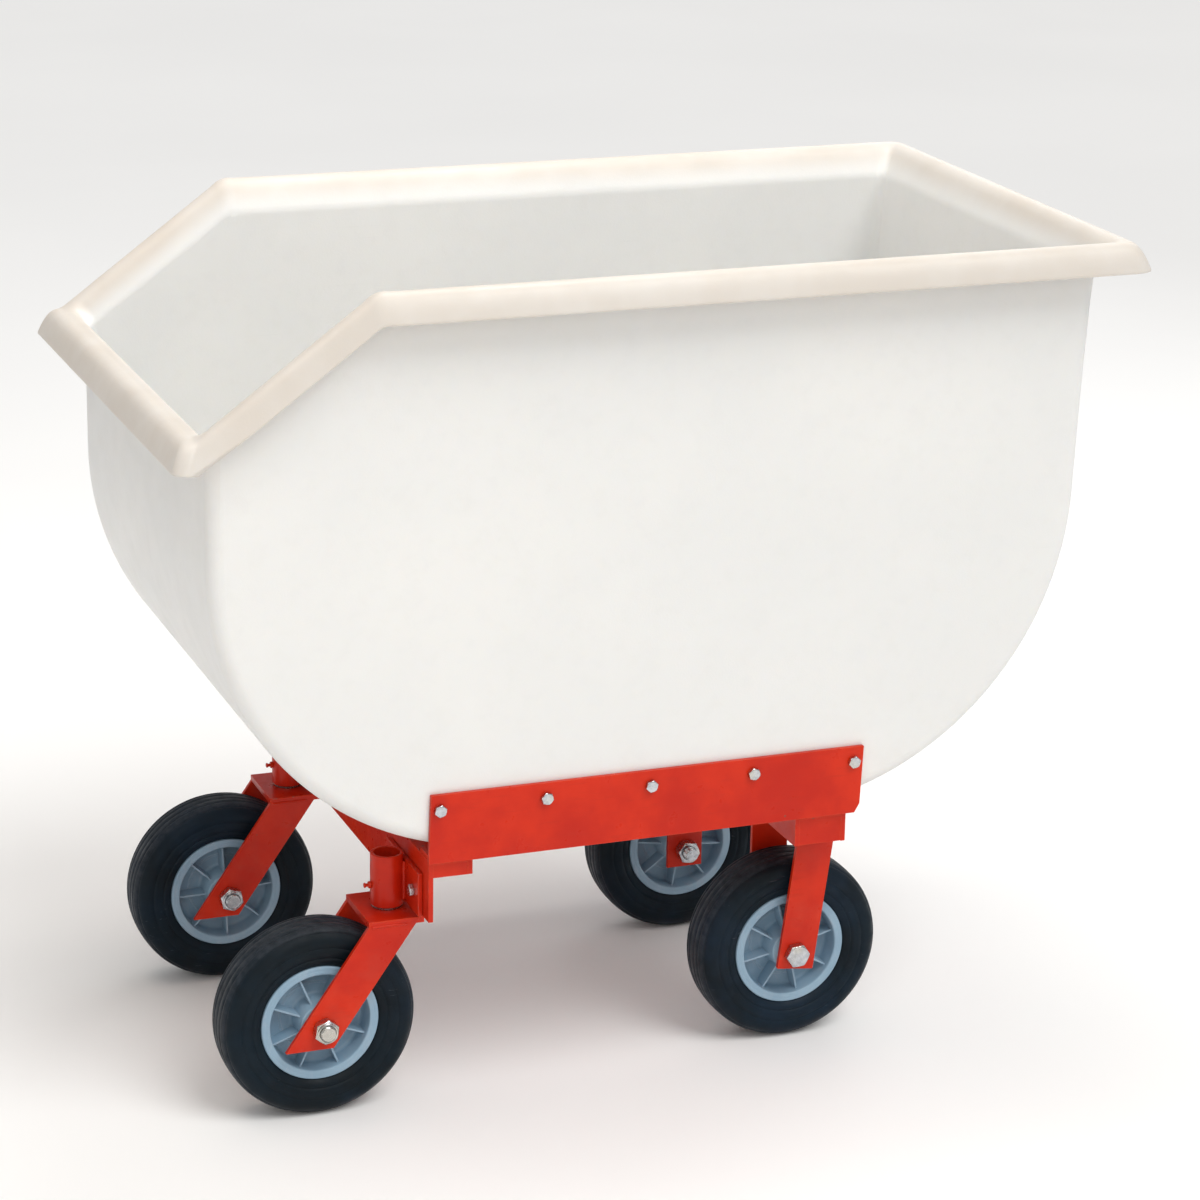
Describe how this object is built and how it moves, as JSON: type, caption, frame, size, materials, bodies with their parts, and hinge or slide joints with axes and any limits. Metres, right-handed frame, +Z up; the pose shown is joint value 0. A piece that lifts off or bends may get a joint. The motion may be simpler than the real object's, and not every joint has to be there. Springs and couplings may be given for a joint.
{
  "type": "bulk feed cart",
  "caption": "Free-standing poly feed cart: a one-piece round-bottomed tub with a rolled rim and a low sloped front, on a steel frame with swivel casters ahead and fixed wheels behind.",
  "frame": {"origin": "on the floor under the middle of the overall box", "axes": "+Z up, -X towards the sloped open front and the swivel casters, +X towards the rear, -Y the cart's left side"},
  "size_m": [1.257, 0.74, 1.0793],
  "materials": {
    "white_poly": "natural white rotomoulded polyethylene, soft satin",
    "red_paint": "glossy red enamel on hot-rolled steel",
    "tyre_rubber": "solid black rubber",
    "grey_hub": "moulded blue-grey hub, satin",
    "zinc_plate": "bright zinc plating",
    "plain_steel": "turned steel, lightly oiled"
  },
  "bodies": {
    "root": {"axle_bolt_rear_left": "zinc_plate", "axle_bolt_rear_right": "zinc_plate", "axle_nut_rear_left": "zinc_plate", "axle_nut_rear_right": "zinc_plate", "bracket_bolt_left_1": "zinc_plate", "bracket_bolt_left_2": "zinc_plate", "bracket_bolt_right_1": "zinc_plate", "bracket_bolt_right_2": "zinc_plate", "caster_bracket_left": "red_paint", "caster_bracket_right": "red_paint", "front_cross_member": "red_paint", "grease_fitting_left": "red_paint", "grease_fitting_right": "red_paint", "rail_bolt_left_1": "zinc_plate", "rail_bolt_left_2": "zinc_plate", "rail_bolt_left_3": "zinc_plate", "rail_bolt_left_4": "zinc_plate", "rail_bolt_left_5": "zinc_plate", "rail_bolt_right_1": "zinc_plate", "rail_bolt_right_2": "zinc_plate", "rail_bolt_right_3": "zinc_plate", "rail_bolt_right_4": "zinc_plate", "rail_bolt_right_5": "zinc_plate", "rear_cross_member": "red_paint", "rear_fork_left": "red_paint", "rear_fork_right": "red_paint", "side_rail_left": "red_paint", "side_rail_right": "red_paint", "tub": "white_poly", "tub_bolt_left": "zinc_plate", "tub_bolt_right": "zinc_plate", "tub_spacer_left": "zinc_plate", "tub_spacer_right": "zinc_plate"},
    "front_swivel_left": {"swivel_fork_left": "red_paint", "kingpin_left": "plain_steel", "thrust_washer_left": "plain_steel", "retaining_ring_left": "zinc_plate", "axle_bolt_front_left": "zinc_plate", "axle_nut_front_left": "zinc_plate"},
    "front_swivel_right": {"swivel_fork_right": "red_paint", "kingpin_right": "plain_steel", "thrust_washer_right": "plain_steel", "retaining_ring_right": "zinc_plate", "axle_bolt_front_right": "zinc_plate", "axle_nut_front_right": "zinc_plate"},
    "front_wheel_left": {"tyre_front_left": "tyre_rubber", "wheel_hub_front_left": "grey_hub", "wheel_bearing_front_left": "plain_steel"},
    "rear_wheel_left": {"tyre_rear_left": "tyre_rubber", "wheel_hub_rear_left": "grey_hub", "wheel_bearing_rear_left": "plain_steel"},
    "front_wheel_right": {"tyre_front_right": "tyre_rubber", "wheel_hub_front_right": "grey_hub", "wheel_bearing_front_right": "plain_steel"},
    "rear_wheel_right": {"tyre_rear_right": "tyre_rubber", "wheel_hub_rear_right": "grey_hub", "wheel_bearing_rear_right": "plain_steel"}
  },
  "joints": [
    {"name": "caster_swivel_left", "type": "hinge", "parent": "root", "child": "front_swivel_left", "pos_m": [-0.3295, -0.2245, 0.262], "axis": [0, 0, 1], "continuous": true},
    {"name": "caster_swivel_right", "type": "hinge", "parent": "root", "child": "front_swivel_right", "pos_m": [-0.3295, 0.2245, 0.262], "axis": [0, 0, 1], "continuous": true},
    {"name": "front_wheel_spin_left", "type": "hinge", "parent": "front_swivel_left", "child": "front_wheel_left", "pos_m": [-0.426, -0.2245, 0.127], "axis": [0, 1, 0], "continuous": true},
    {"name": "rear_wheel_spin_left", "type": "hinge", "parent": "root", "child": "rear_wheel_left", "pos_m": [0.227, -0.193, 0.127], "axis": [0, 1, 0], "continuous": true},
    {"name": "front_wheel_spin_right", "type": "hinge", "parent": "front_swivel_right", "child": "front_wheel_right", "pos_m": [-0.426, 0.2245, 0.127], "axis": [0, 1, 0], "continuous": true},
    {"name": "rear_wheel_spin_right", "type": "hinge", "parent": "root", "child": "rear_wheel_right", "pos_m": [0.227, 0.193, 0.127], "axis": [0, 1, 0], "continuous": true}
  ]
}
